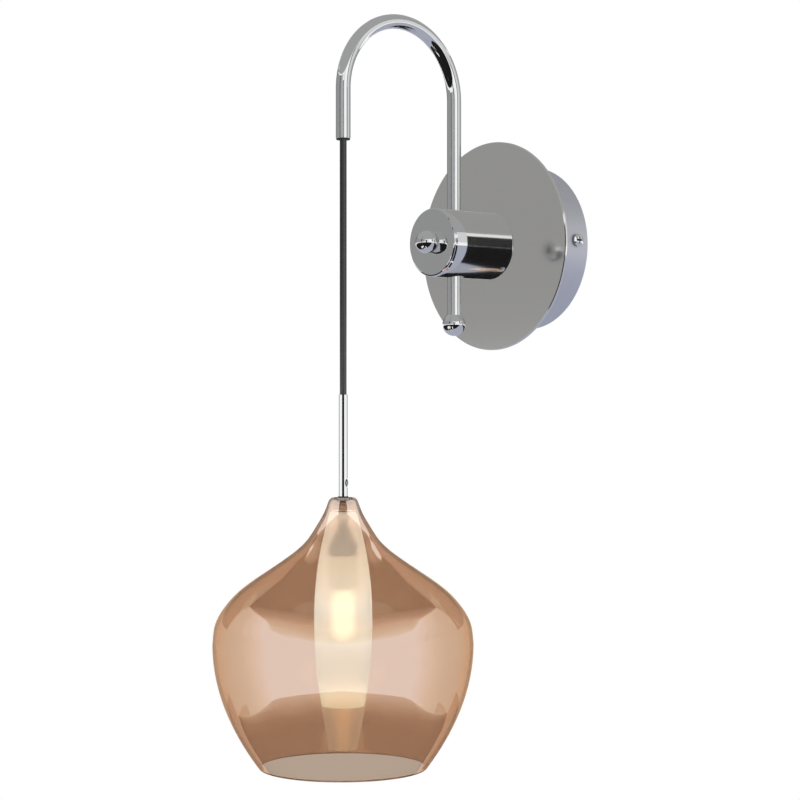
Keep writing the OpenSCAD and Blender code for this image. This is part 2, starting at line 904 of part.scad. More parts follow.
module shade() {
    line = shade_line();
    inside = inset(line, shade_wall);
    shoulder = arc(neck_r - neck_round - 0.25, shade_top - neck_round, neck_round, 90, 18, 5);
    hollow = arc(neck_r - shade_wall - neck_hollow, under_neck - neck_hollow, neck_hollow, 12, 90, 3);
    color(copper_glass) on_pendant() rotate_extrude() polygon(concat(
        [[rod_hole, under_neck], [rod_hole, shade_top]],
        shoulder,
        line,
        lip(line[len(line) - 1], inside[len(inside) - 1]),
        reversed(inside),
        hollow
    ));
}

module neck_washer() {
    color(clear) on_pendant() translate([0, 0, nut_top]) ring(neck_washer_r, rod_r, neck_washer_t);
}

// A knurled round nut that clamps the outer glass from inside
module neck_nut() {
    ridges = 24;
    color(chrome) on_pendant() translate([0, 0, nut_low]) difference() {
        rotate_extrude() polygon([
            [rod_r, 0], [neck_nut_r - 0.6, 0], [neck_nut_r, 0.6],
            [neck_nut_r, neck_nut_t - 0.6], [neck_nut_r - 0.6, neck_nut_t], [rod_r, neck_nut_t]
        ]);
        for (i = [0 : ridges - 1]) rotate(360 * i / ridges) translate([neck_nut_r + 0.15, 0, 0.9])
            cylinder(r = 0.45, h = neck_nut_t - 1.8);
    }
}

module seat_washer() {
    color(clear) on_pendant() translate([0, 0, inner_top]) ring(seat_washer_r, rod_r, seat_washer_t);
}

// The inner glass: two parabolas that meet at its widest place
function inner_line() =
    let (
        top_r = inner_top_d / 2,
        low_r = inner_rim_d / 2,
        belly = inner_top - inner_belly,
        drop = rim_drop(inner_h - inner_belly, inner_r - inner_rim_d / 2, inner_wall)
    )
    concat(
        [for (i = [12 : -1 : 1]) let (u = i / 12)
            [inner_r - (inner_r - top_r) * u * u, belly + (inner_belly - 1.2) * u]],
        [for (i = [0 : 8]) let (u = i / 8)
            [inner_r - (inner_r - low_r) * u * u, belly - drop * u]]
    );

module inner_glass() {
    line = inner_line();
    inside = inset(line, inner_wall);
    crown = line[0];
    color(frosted) on_pendant() rotate_extrude() polygon(concat(
        [[rod_hole, inner_under], [rod_hole, inner_top], [crown[0] - 1.2, inner_top]],
        [[crown[0] - 0.4, inner_top - 0.35]],
        line,
        lip(line[len(line) - 1], inside[len(inside) - 1]),
        reversed(inside),
        [[inside[0][0] - 0.6, inner_under]]
    ));
}

module inner_washer() {
    color(clear) on_pendant() translate([0, 0, inner_under - inner_washer_t]) ring(inner_washer_r, rod_r, inner_washer_t);
}

module jam_nut() {
    color(zinc) on_pendant() translate([0, 0, jam_low]) hex_nut(jam_af, rod_r, jam_t);
}

module socket_cup() {
    cone = cup_top - cup_neck;
    shoulder = cone - cup_cone;
    color(zinc) on_pendant() difference() {
        rotate_extrude() polygon([
            [rod_r, cup_top],
            [cup_neck_r, cup_top],
            [cup_neck_r, cone],
            [cup_neck_r + 1.4, cone - 1.4],
            [socket_r - 0.9, shoulder + 0.8],
            [socket_r, shoulder - 0.6],
            [socket_r, cup_low],
            [socket_in, cup_low],
            [socket_in, shoulder - 0.9],
            [socket_in - 0.7, shoulder + 0.1],
            [cup_neck_r + 1, cone - 2.4],
            [rod_r, cone - 2.4]
        ]);
        cup_screw_holes();
    }
}

module cup_screw_holes() {
    for (side = [-1, 1]) translate([0, 0, cup_low + plug_h / 2]) rotate([0, side * 90, 0])
        cylinder(r = cup_screw_r, h = socket_r + 1);
}

module cup_screws() {
    color(zinc) on_pendant() for (side = [-1, 1]) translate([0, 0, cup_low + plug_h / 2]) rotate([0, side * 90, 0]) {
        translate([0, 0, socket_in - 1.2]) cylinder(r = cup_screw_r, h = cup_wall + 1.2);
        translate([0, 0, socket_r]) difference() {
            cylinder(r1 = cup_screw_head, r2 = cup_screw_head - 0.3, h = cup_screw_head_h);
            translate([-cup_screw_head, -0.25, 0.35]) cube([2 * cup_screw_head, 0.5, 1]);
        }
    }
}

// The ceramic body, with its oblong well for the bulb's flat foot
module ceramic_socket() {
    color(white) on_pendant() difference() {
        union() {
            translate([0, 0, socket_low]) cylinder(r = socket_r, h = ceramic_h);
            translate([0, 0, cup_low]) cylinder(r = socket_in, h = plug_h);
        }
        translate([-recess_x / 2, -recess_y / 2, socket_low - 1]) cube([recess_x, recess_y, recess_h + 1]);
        for (side = [-1, 1]) translate([side * pin_gap / 2, 0, socket_low + recess_h - 1])
            cylinder(r = pin_well_r, h = pin_h + 1);
        for (side = [-1, 1]) translate([0, 0, cup_low + plug_h / 2]) rotate([0, side * 90, 0])
            translate([0, 0, socket_in - 1.2]) cylinder(r = cup_screw_r, h = 3);
    }
}

// The two cores from the stem's top to the ceramic
module socket_wires() {
    low = cup_low + plug_h;
    for (side = [-1, 1]) {
        color(side > 0 ? [0.42, 0.26, 0.15] : [0.20, 0.35, 0.66]) on_pendant()
            translate([side * wire_x, 0, low]) cylinder(r = wire_r, h = stem_top - low);
    }
}

// A sealed capsule with a pressed flat foot and a drawn-off tip
module bulb_glass() {
    low = bulb_low + bulb_r;
    start = bulb_top - bulb_shoulder;
    color(clear) on_pendant() {
        difference() {
            union() {
                rotate_extrude() polygon(concat(
                    [[0, bulb_top], [pinch_y / 2, bulb_top], [pinch_y / 2 + 0.8, bulb_top]],
                    [[bulb_r - 1.6, start + 1.3], [bulb_r - 0.4, start + 0.5], [bulb_r, start - 0.8]],
                    arc(0, low, bulb_r, 0, -80, 8),
                    [[bulb_tip * 0.8, bulb_low - 0.3], [bulb_tip * 0.45, bulb_low - bulb_tip], [0, bulb_low - bulb_tip - 0.2]]
                ));
                translate([-pinch_x / 2, -pinch_y / 2, bulb_top - 1.6])
                    cube([pinch_x, pinch_y, pinch_top - bulb_top + 1.6]);
            }
            rotate_extrude() polygon(concat(
                [[0, start], [bulb_r - bulb_wall - 1, start], [bulb_r - bulb_wall, start - 1]],
                arc(0, low, bulb_r - bulb_wall, 0, -90, 8)
            ));
        }
    }
}

module bulb_pins() {
    color(zinc) on_pendant() for (side = [-1, 1]) translate([side * pin_gap / 2, 0, pinch_top]) {
        for (end = [-1, 1]) translate([0, end * pin_loop, 0]) cylinder(r = pin_wire, h = pin_h - pin_loop - pin_wire - 0.6);
        translate([0, 0, pin_h - pin_loop - pin_wire - 0.6]) rotate([90, 0, 90]) rotate_extrude(angle = 180)
            translate([pin_loop, 0]) circle(r = pin_wire);
    }
}

// The coiled filament on its two supports
module filament() {
    top = bulb_top - bulb_shoulder;
    mid = bulb_low + bulb_r + 4;
    color([0.96, 0.85, 0.55]) on_pendant() {
        translate([0, 0, mid - filament_l / 2]) cylinder(r = filament_r, h = filament_l);
        translate([0, 0, mid + filament_l / 2 - eps]) cylinder(r = support_r, h = top - mid - filament_l / 2 + eps);
        translate([2.2, 0, mid - filament_l / 2 + 0.3]) cylinder(r = support_r, h = top - mid + filament_l / 2 - 0.3);
        translate([0, 0, mid - filament_l / 2 + 0.3]) rotate([0, 90, 0]) cylinder(r = support_r, h = 2.2);
    }
}

wall_plate();
canopy();
canopy_screws();
front_disc();
terminal_block();
terminal_inserts();
terminal_screws();
earth_screw();
nipple();
nipple_nut();
lock_washer();
holder();
holder_grub();
holder_cap();
feed_wires();
clamp_pad();
clamp_stud();
clamp_knob();
arm_liner();
liner_clips();
link_wires();
arm_tube();
end_ball();
cord_bush();
cord_anchor();
arm_lead();
cord_grip();
hanging_cord();
stem();
stem_screw();
top_washer();
threaded_rod();
shade();
neck_washer();
neck_nut();
seat_washer();
inner_glass();
inner_washer();
jam_nut();
socket_cup();
cup_screws();
ceramic_socket();
socket_wires();
bulb_glass();
bulb_pins();
filament();
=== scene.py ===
import math

import bpy
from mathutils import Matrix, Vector


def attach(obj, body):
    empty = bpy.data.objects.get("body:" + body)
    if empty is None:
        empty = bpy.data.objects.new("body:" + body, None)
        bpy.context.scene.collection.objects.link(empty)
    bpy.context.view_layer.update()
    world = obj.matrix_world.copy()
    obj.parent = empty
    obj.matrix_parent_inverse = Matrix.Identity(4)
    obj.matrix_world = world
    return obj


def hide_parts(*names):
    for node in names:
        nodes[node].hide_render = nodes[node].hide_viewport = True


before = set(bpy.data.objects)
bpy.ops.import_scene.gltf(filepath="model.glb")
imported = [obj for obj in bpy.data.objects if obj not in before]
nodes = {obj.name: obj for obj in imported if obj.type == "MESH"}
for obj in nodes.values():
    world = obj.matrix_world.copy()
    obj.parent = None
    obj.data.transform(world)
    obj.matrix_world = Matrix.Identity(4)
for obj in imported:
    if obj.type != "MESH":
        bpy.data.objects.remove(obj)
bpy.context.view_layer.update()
scene = bpy.context.scene
mm = 0.001


class Flow:
    # one output socket; arithmetic on it adds Math nodes
    def __init__(self, graph, socket):
        self.graph = graph
        self.socket = socket

    def calc(self, operation, *others):
        return self.graph.calc(operation, self, *others)

    def __add__(self, other):
        return self.graph.calc("ADD", self, other)

    def __radd__(self, other):
        return self.graph.calc("ADD", other, self)

    def __sub__(self, other):
        return self.graph.calc("SUBTRACT", self, other)

    def __rsub__(self, other):
        return self.graph.calc("SUBTRACT", other, self)

    def __mul__(self, other):
        return self.graph.calc("MULTIPLY", self, other)

    def __rmul__(self, other):
        return self.graph.calc("MULTIPLY", other, self)

    def __truediv__(self, other):
        return self.graph.calc("DIVIDE", self, other)

    def __rtruediv__(self, other):
        return self.graph.calc("DIVIDE", other, self)


class Graph:
    def __init__(self, tree):
        self.tree = tree

    def add(self, kind, settings=None, sockets=None, out=0):
        node = self.tree.nodes.new(kind)
        for key, value in (settings or {}).items():
            if key == "stops":
                self.setStops(node.color_ramp, value)
            else:
                setattr(node, key, value)
        for key, value in (sockets or {}).items():
            if isinstance(value, Flow):
                self.tree.links.new(value.socket, node.inputs[key])
            else:
                node.inputs[key].default_value = value
        return Flow(self, node.outputs[out]) if len(node.outputs) else node

    def setStops(self, ramp, stops):
        while len(ramp.elements) < len(stops):
            ramp.elements.new(0.5)
        for element, (place, colour) in zip(ramp.elements, stops):
            element.position = place
            element.color = (*colour, 1)

    def calc(self, operation, *values):
        return self.add("ShaderNodeMath", {"operation": operation}, dict(enumerate(values)))

    def other(self, flow, out):
        return Flow(self, flow.socket.node.outputs[out])

    def mixColour(self, factor, a, b):
        first, second = (tone if isinstance(tone, Flow) else (*tone, 1) for tone in (a, b))
        return self.add("ShaderNodeMix", {"data_type": "RGBA"}, {0: factor, 6: first, 7: second}, 2)

    def ramp(self, factor, stops, ease="LINEAR"):
        node = self.add("ShaderNodeValToRGB", {"stops": stops}, {0: factor})
        node.socket.node.color_ramp.interpolation = ease
        return node

    def place(self):
        return self.add("ShaderNodeTexCoord", out="Object")

    def noise(self, scale, detail=2.0, stretch=(1, 1, 1)):
        vector = self.add("ShaderNodeMapping", {}, {"Vector": self.place(), "Scale": stretch})
        return self.add("ShaderNodeTexNoise", {}, {"Vector": vector, "Scale": scale, "Detail": detail})

    def bump(self, height, strength, depth):
        return self.add("ShaderNodeBump", {}, {"Strength": strength, "Distance": depth, "Height": height})

    def principled(self, sockets):
        return self.add("ShaderNodeBsdfPrincipled", {}, sockets)

    def surface(self, shader):
        self.add("ShaderNodeOutputMaterial", {}, {"Surface": shader})


def newMaterial(name):
    material = bpy.data.materials.new(name)
    material.use_nodes = True
    material.node_tree.nodes.clear()
    return material, Graph(material.node_tree)


shot = {"place": (0.9336, -0.9083, -0.09405), "heading": 49.34, "lens": 94.07}
cameraData = bpy.data.cameras.new("camera")
cameraData.lens = shot["lens"]
cameraData.sensor_width = 36
camera = bpy.data.objects.new("camera", cameraData)
camera.location = shot["place"]
camera.rotation_euler = (math.radians(90), 0, math.radians(shot["heading"]))
scene.collection.objects.link(camera)
scene.camera = camera
print("camera ready")


def link(name, mesh):
    piece = bpy.data.objects.new(name, mesh)
    scene.collection.objects.link(piece)
    return piece


def geometryTree(name, sizes):
    tree = bpy.data.node_groups.new(name, "GeometryNodeTree")
    tree.interface.new_socket("Geometry", in_out="INPUT", socket_type="NodeSocketGeometry")
    for label, value in sizes.items():
        kind = "NodeSocketInt" if isinstance(value, int) else "NodeSocketFloat"
        tree.interface.new_socket(label, in_out="INPUT", socket_type=kind)
    tree.interface.new_socket("Geometry", in_out="OUTPUT", socket_type="NodeSocketGeometry")
    graph = Graph(tree)
    source = tree.nodes.new("NodeGroupInput")
    flows = {socket.name: Flow(graph, socket) for socket in source.outputs if socket.name}
    return graph, flows


def closeTree(graph, geometry, material):
    whole = graph.add("GeometryNodeRealizeInstances", {}, {"Geometry": geometry})
    dressed = graph.add("GeometryNodeSetMaterial", {}, {"Geometry": whole, "Material": material})
    graph.add("NodeGroupOutput", {}, {"Geometry": dressed})


def bakeTree(piece, graph, sizes):
    modifier = piece.modifiers.new("shape", "NODES")
    modifier.node_group = graph.tree
    for item in graph.tree.interface.items_tree:
        if item.in_out == "INPUT" and item.name in sizes:
            modifier[item.identifier] = sizes[item.name]
    return freeze(piece)


def freeze(piece):
    view = bpy.context.evaluated_depsgraph_get()
    view.update()
    mesh = bpy.data.meshes.new_from_object(piece.evaluated_get(view))
    piece.modifiers.clear()
    piece.data = mesh
    return piece


def shadeSmooth(mesh, angle):
    mesh.shade_smooth()
    mesh.set_sharp_from_angle(angle=math.radians(angle))


cord = {
    "axis": -0.1495,
    "heights": (58, 48, 38, 28, 18, 8, -2, -12, -22, -32, -42, -52, -62, -72, -82, -91),
    "radius": 0.002,
    "sides": 24,
}


def cordSheath():
    material, g = newMaterial("cordSheath")
    grain = g.noise(900, 3, (1, 1, 0.25))
    patch = g.noise(60, 2)
    tone = g.mixColour(patch, (0.008, 0.008, 0.009), (0.016, 0.016, 0.018))
    g.surface(g.principled({
        "Base Color": tone,
        "Roughness": 0.12 + 0.1 * grain,
        "Specular IOR Level": 1.0,
        "Normal": g.bump(grain, 0.06, 0.00003),
    }))
    return material


def makeCord():
    route = [(0, cord["axis"], z * mm) for z in cord["heights"]]
    line = bpy.data.meshes.new("hangingCord")
    line.from_pydata(route, [(i, i + 1) for i in range(len(route) - 1)], [])
    piece = link("hangingCord", line)
    sizes = {"Radius": cord["radius"], "Sides": cord["sides"]}
    g, inputs = geometryTree("cordTube", sizes)
    curve = g.add("GeometryNodeMeshToCurve", {}, {"Mesh": inputs["Geometry"]})
    ring = g.add("GeometryNodeCurvePrimitiveCircle", {"mode": "RADIUS"}, {
        "Resolution": inputs["Sides"], "Radius": inputs["Radius"],
    })
    tube = g.add("GeometryNodeCurveToMesh", {}, {"Curve": curve, "Profile Curve": ring, "Fill Caps": True})
    closeTree(g, tube, cordSheath())
    bakeTree(piece, g, sizes)
    shadeSmooth(piece.data, 50)
    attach(piece, "pendant")
    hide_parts("hanging_cord")
    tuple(route[0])


makeCord()
print("cord ready")


def chromeFinish(name, tint, gloss, haze, grain=900):
    material, g = newMaterial(name)
    smear = g.noise(45, 3, (1, 1, 0.6))
    fine = g.noise(grain, 2)
    shade = g.mixColour(smear, tint, tuple(0.95 * c for c in tint))
    g.surface(g.principled({
        "Base Color": shade,
        "Metallic": 1.0,
        "Roughness": gloss + haze * smear + 0.3 * haze * fine,
        "Normal": g.bump(fine, 0.03, 0.00002),
    }))
    return material


def satinFinish(name, tint, gloss, haze):
    material, g = newMaterial(name)
    cloud = g.noise(14, 3)
    fine = g.noise(2200, 2)
    shade = g.mixColour(cloud, tint, tuple(0.97 * c for c in tint))
    g.surface(g.principled({
        "Base Color": shade,
        "Metallic": 1.0,
        "Roughness": gloss + haze * cloud + 0.25 * haze * fine,
        "Normal": g.bump(fine, 0.08, 0.00002),
    }))
    return material


def zincFinish(name, tint):
    material, g = newMaterial(name)
    spangle = g.add("ShaderNodeTexVoronoi", {}, {"Vector": g.place(), "Scale": 420}, "Color")
    grey = g.add("ShaderNodeRGBToBW", {}, {"Color": spangle})
    fine = g.noise(1500, 3)
    shade = g.mixColour(grey, tint, tuple(0.78 * c for c in tint))
    g.surface(g.principled({
        "Base Color": shade,
        "Metallic": 1.0,
        "Roughness": 0.28 + 0.14 * grey + 0.08 * fine,
        "Normal": g.bump(fine, 0.2, 0.00004),
    }))
    return material


def plasticFinish(name, tint, rough, grain):
    material, g = newMaterial(name)
    patch = g.noise(90, 3)
    fine = g.noise(grain, 3)
    shade = g.mixColour(patch, tint, tuple(0.86 * c for c in tint))
    g.surface(g.principled({
        "Base Color": shade,
        "Roughness": rough + 0.14 * fine,
        "Normal": g.bump(fine, 0.22, 0.00008),
    }))
    return material


def coreFinish():
    material, g = newMaterial("coreSheath")
    across = g.add("ShaderNodeSeparateXYZ", {}, {"Vector": g.place()})
    side = g.calc("GREATER_THAN", across, 0.0)
    fine = g.noise(1200, 2)
    shade = g.mixColour(side, (0.03, 0.10, 0.42), (0.20, 0.075, 0.03))
    g.surface(g.principled({
        "Base Color": shade,
        "Roughness": 0.35 + 0.15 * fine,
        "Normal": g.bump(fine, 0.15, 0.00004),
    }))
    return material


def ceramicFinish():
    material, g = newMaterial("ceramic")
    speck = g.noise(700, 4)
    patch = g.noise(35, 2)
    shade = g.mixColour(patch, (0.88, 0.86, 0.80), (0.80, 0.77, 0.70))
    g.surface(g.principled({
        "Base Color": shade,
        "Roughness": 0.4 + 0.25 * speck,
        "Normal": g.bump(speck, 0.25, 0.00006),
    }))
    return material


def gasketFinish():
    material, g = newMaterial("clearGasket")
    fine = g.noise(800, 2)
    g.surface(g.principled({
        "Base Color": (0.94, 0.95, 0.94, 1),
        "Roughness": 0.12 + 0.12 * fine,
        "Transmission Weight": 0.85,
        "IOR": 1.42,
        "Normal": g.bump(fine, 0.1, 0.00004),
    }))
    return material


# the bulb and the filament glow as lamps; innerGlass and innerFace set the painted light of the frosted glass
glow = {
    "bulb": 0.52, "bulbLow": -0.2345, "bulbHigh": -0.200, "filament": 2.4, "filamentTurns": 14000.0,
    "innerGlass": 1.0, "innerFace": 1.0,
}


def bulbFinish():
    material, g = newMaterial("bulbGlass")
    height = g.add("ShaderNodeSeparateXYZ", {}, {"Vector": g.place()}, "Z")
    share = g.add("ShaderNodeMapRange", {}, {
        "Value": height, "From Min": glow["bulbLow"], "From Max": glow["bulbHigh"],
    })
    warm = g.ramp(share, [
        (0.0, (0.62, 0.52, 0.36)), (0.2, (1.0, 0.93, 0.74)),
        (0.8, (1.0, 0.93, 0.74)), (1.0, (0.6, 0.5, 0.35)),
    ])
    fine = g.noise(500, 2)
    g.surface(g.principled({
        "Base Color": (1.0, 0.98, 0.94, 1),
        "Roughness": 0.03 + 0.05 * fine,
        "Transmission Weight": 0.9,
        "IOR": 1.46,
        "Emission Color": warm,
        "Emission Strength": glow["bulb"],
    }))
    return material


def filamentFinish():
    material, g = newMaterial("filament")
    height = g.add("ShaderNodeSeparateXYZ", {}, {"Vector": g.place()}, "Z")
    turns = g.calc("SINE", height * glow["filamentTurns"])
    hot = g.mixColour(0.5 + 0.5 * turns, (1.0, 0.62, 0.26), (1.0, 0.84, 0.55))
    g.surface(g.principled({
        "Base Color": (0.6, 0.55, 0.5, 1),
        "Metallic": 1.0,
        "Roughness": 0.4 + 0.1 * turns,
        "Emission Color": hot,
        "Emission Strength": glow["filament"],
    }))
    return material


finishes = {
    "chrome": chromeFinish("chrome", (0.90, 0.905, 0.915), 0.03, 0.03),
    "holderChrome": chromeFinish("holderChrome", (0.88, 0.885, 0.895), 0.025, 0.02),
    "discPolish": satinFinish("discPolish", (0.91, 0.905, 0.88), 0.10, 0.02),
    "drumSatin": satinFinish("drumSatin", (0.78, 0.79, 0.845), 0.5, 0.06),
    "zinc": zincFinish("zinc", (0.66, 0.67, 0.69)),
    "brass": zincFinish("brass", (0.80, 0.60, 0.26)),
    "darkSteel": zincFinish("darkSteel", (0.20, 0.185, 0.17)),
    "nylon": plasticFinish("nylon", (0.82, 0.81, 0.77), 0.35, 1400),
    "rubber": plasticFinish("rubber", (0.025, 0.025, 0.028), 0.5, 2200),
    "leadSheath": plasticFinish("leadSheath", (0.02, 0.02, 0.022), 0.35, 1800),
    "cores": coreFinish(),
    "ceramic": ceramicFinish(),
    "gasket": gasketFinish(),
    "bulb": bulbFinish(),
    "filament": filamentFinish(),
}

dressing = {
    "chrome": [
        "arm_tube", "end_ball", "clamp_knob", "clamp_stud", "stem", "stem_screw", "canopy_screws", "neck_nut",
    ],
    "holderChrome": ["holder", "holder_cap"],
    "discPolish": ["front_disc"],
    "drumSatin": ["canopy"],
    "zinc": [
        "wall_plate", "terminal_screws", "earth_screw", "nipple", "nipple_nut", "lock_washer", "holder_grub",
        "liner_clips", "threaded_rod", "jam_nut", "bulb_pins",
    ],
    "darkSteel": ["socket_cup", "cup_screws"],
    "brass": ["terminal_inserts", "clamp_pad", "cord_anchor"],
    "nylon": ["terminal_block", "arm_liner"],
    "rubber": ["cord_bush", "cord_grip", "top_washer"],
    "leadSheath": ["arm_lead"],
    "cores": ["feed_wires", "link_wires", "socket_wires"],
    "ceramic": ["ceramic_socket"],
    "gasket": ["neck_washer", "seat_washer", "inner_washer"],
    "bulb": ["bulb_glass"],
    "filament": ["filament"],
}

for finish, names in dressing.items():
    for name in names:
        for slot in nodes[name].material_slots:
            slot.material = finishes[finish]
print("metal, plastic and lamp parts dressed")


sideScrew = {
    "places": [(-0.05, -0.009, 0.002), (0.05, -0.009, 0.002)],
    "Head": 0.0038, "Height": 0.0024, "Drop": 0.0009, "Arm": 0.0021, "Slot": 0.00055, "Depth": 0.0011,
    "Shank": 0.0019, "Length": 0.0068, "Pitch": 0.0008, "Sides": 96, "Rows": 90,
}


def screwFinish():
    # bright metal, with painted shade darkening the cross recess and the head's side
    material, g = newMaterial("screwMetal")
    dark = g.add("ShaderNodeAttribute", {"attribute_name": "dark"}, out="Fac")
    fine = g.noise(900, 2)
    g.surface(g.principled({
        "Base Color": g.mixColour(dark, (0.90, 0.905, 0.915), (0.03, 0.03, 0.03)),
        "Metallic": 1.0 - 0.4 * dark,
        "Roughness": 0.05 + 0.3 * dark + 0.03 * fine,
        "Normal": g.bump(fine, 0.04, 0.00002),
    }))
    return material


def screwTree():
    # a cross-headed screw on each point, its head outward along x
    s = sideScrew
    g, inputs = geometryTree("crossScrew", {key: s[key] for key in s if key != "places"})
    sides, rows = inputs["Sides"], inputs["Rows"]
    grid = g.add("GeometryNodeMeshGrid", {}, {"Vertices X": sides + 1, "Vertices Y": rows})
    index = g.add("GeometryNodeInputIndex")
    along = index.calc("MODULO", rows) / (rows - 1)
    turn = (index / rows).calc("FLOOR") * (2 * math.pi) / sides
    # the rows run over the head's face, down its edge, in under it and along the shank
    faceShare, edgeShare, underShare, shankShare = 0.45, 0.1, 0.05, 0.4
    crest, chamfer = 0.00015, 0.00022
    face = (along / faceShare).calc("MINIMUM", 1.0)
    wall = ((along - faceShare) / edgeShare).calc("MAXIMUM", 0.0).calc("MINIMUM", 1.0)
    under = ((along - faceShare - edgeShare) / underShare).calc("MAXIMUM", 0.0).calc("MINIMUM", 1.0)
    down = ((along - 1.0 + shankShare) / shankShare).calc("MAXIMUM", 0.0)
    thread = (down * inputs["Length"] / inputs["Pitch"] * (2 * math.pi) + turn).calc("SINE") * crest
    shank = inputs["Shank"] + thread * down.calc("GREATER_THAN", 0.01)
    radius = inputs["Head"] * face + (shank - inputs["Head"]) * under
    x, y = radius * turn.calc("COSINE"), radius * turn.calc("SINE")
    wide, tall = x.calc("ABSOLUTE"), y.calc("ABSOLUTE")
    arms = (inputs["Arm"] - wide).calc("MINIMUM", inputs["Slot"] - tall)
    other = (inputs["Arm"] - tall).calc("MINIMUM", inputs["Slot"] - wide)
    cross = (arms.calc("MAXIMUM", other) / chamfer).calc("MAXIMUM", 0.0).calc("MINIMUM", 1.0)
    recess = cross * face.calc("LESS_THAN", 0.99)
    top = inputs["Height"] - inputs["Drop"] * face * face
    z = top * (1.0 - wall) - inputs["Depth"] * recess - down * inputs["Length"]
    spot = g.add("ShaderNodeCombineXYZ", {}, {"X": x, "Y": y, "Z": z})
    skin = g.add("GeometryNodeSetPosition", {}, {"Geometry": grid, "Position": spot})
    # painted shade: the cross recess and the head's side are marked dark for the colour
    paintedShade = recess.calc("MAXIMUM", wall).calc("MINIMUM", 1.0)
    marked = g.add("GeometryNodeStoreNamedAttribute", {"data_type": "FLOAT", "domain": "POINT"}, {
        "Geometry": skin, "Name": "dark", "Value": paintedShade,
    })
    joined = g.add("GeometryNodeMergeByDistance", {}, {"Geometry": marked, "Distance": 0.000001})
    flank = g.add("ShaderNodeSeparateXYZ", {}, {"Vector": g.add("GeometryNodeInputPosition")}).calc("SIGN")
    aim = g.add("FunctionNodeAlignRotationToVector", {"axis": "Z"}, {
        "Vector": g.add("ShaderNodeCombineXYZ", {}, {"X": flank, "Y": 0.0, "Z": 0.0}),
    })
    return g, g.add("GeometryNodeInstanceOnPoints", {}, {
        "Points": inputs["Geometry"], "Instance": joined, "Rotation": aim,
    })


def makeSideScrews():
    mesh = bpy.data.meshes.new("sideScrews")
    mesh.from_pydata(sideScrew["places"], [], [])
    piece = link("sideScrews", mesh)
    g, heads = screwTree()
    closeTree(g, heads, screwFinish())
    bakeTree(piece, g, {key: sideScrew[key] for key in sideScrew if key != "places"})
    shadeSmooth(piece.data, 35)
    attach(piece, "wall")
    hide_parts("canopy_screws")


makeSideScrews()
print("side screws ready")


def smoothLine(points, steps):
    # a smooth curve through the points
    line = []
    last = len(points) - 1
    for i in range(last):
        a, b, c, d = (points[min(max(i + k, 0), last)] for k in (-1, 0, 1, 2))
        for k in range(steps):
            t = k / steps
            line.append(tuple(
                0.5 * (2 * q + t * (r - p) + t * t * (2 * p - 5 * q + 4 * r - s)
                       + t ** 3 * (3 * q - p - 3 * r + s))
                for p, q, r, s in zip(a, b, c, d)
            ))
    line.append(tuple(points[last]))
    return line


def turnedTree():
    # turns the profile that it is given round the pendant's axis
    g, inputs = geometryTree("turnedGlass", {"Sides": 96, "Axis": 0.0})
    sides = inputs["Sides"]
    rows = g.add("GeometryNodeAttributeDomainSize", {"component": "MESH"}, {"Geometry": inputs["Geometry"]})
    grid = g.add("GeometryNodeMeshGrid", {}, {"Vertices X": sides + 1, "Vertices Y": rows})
    index = g.add("GeometryNodeInputIndex")
    row = index.calc("MODULO", rows)
    turn = (index / rows).calc("FLOOR") * (2 * math.pi) / sides
    point = g.add("GeometryNodeSampleIndex", {"data_type": "FLOAT_VECTOR"}, {
        "Geometry": inputs["Geometry"], "Value": g.add("GeometryNodeInputPosition"), "Index": row,
    })
    radius = g.add("ShaderNodeSeparateXYZ", {}, {"Vector": point})
    spot = g.add("ShaderNodeCombineXYZ", {}, {
        "X": radius * turn.calc("COSINE"),
        "Y": inputs["Axis"] - radius * turn.calc("SINE"),
        "Z": g.other(radius, "Z"),
    })
    skin = g.add("GeometryNodeSetPosition", {}, {"Geometry": grid, "Position": spot})
    return g, g.add("GeometryNodeMergeByDistance", {}, {"Geometry": skin, "Distance": 0.000001})


def turnGlass(name, line, sides):
    # line runs from the top hole down to the rim, in millimetres (radius, height)
    mesh = bpy.data.meshes.new(name)
    mesh.from_pydata([(r * mm, 0, z * mm) for r, z in line], [(i, i + 1) for i in range(len(line) - 1)], [])
    piece = link(name, mesh)
    g, skin = turnedTree()
    closeTree(g, skin, finishes["gasket"])  # glassWall gives each face its own glass
    bakeTree(piece, g, {"Sides": sides, "Axis": cord["axis"]})
    piece.data.materials.clear()
    return piece


def glassWall(piece, thickness, outer, inner):
    piece.data.materials.append(outer)
    piece.data.materials.append(inner)
    wall = piece.modifiers.new("wall", "SOLIDIFY")
    wall.thickness = thickness * mm
    wall.offset = -1
    wall.use_even_offset = True
    wall.material_offset = 1
    edge = piece.modifiers.new("edge", "BEVEL")
    edge.width = 0.32 * thickness * mm
    edge.segments = 3
    edge.limit_method = "ANGLE"
    edge.angle_limit = math.radians(60)
    freeze(piece)
    shadeSmooth(piece.data, 60)


shade = {
    "top": -150.0, "neck": 8.85, "neckRound": 3.5, "neckDrop": 3.5, "hole": 2.25,
    "widest": 75.0, "belly": 84.0, "rim": 48.0, "height": 156.0, "wall": 2.0,
    "flare": [
        (0, 0), (0.07, 0.034), (0.145, 0.086), (0.255, 0.173), (0.33, 0.263), (0.404, 0.383), (0.478, 0.516),
        (0.553, 0.652), (0.627, 0.769), (0.702, 0.859), (0.79, 0.937), (0.88, 0.983), (1, 1),
    ],
    "tint": (0.81, 0.626, 0.485), "mirror": 0.43, "sides": 168,
}


def rimDrop(full, pull, wall):
    # the profile stops short by what a half-round rim would add under a leaning wall
    return full - wall / 2 * (1 - math.sin(math.atan2(2 * pull, full)))


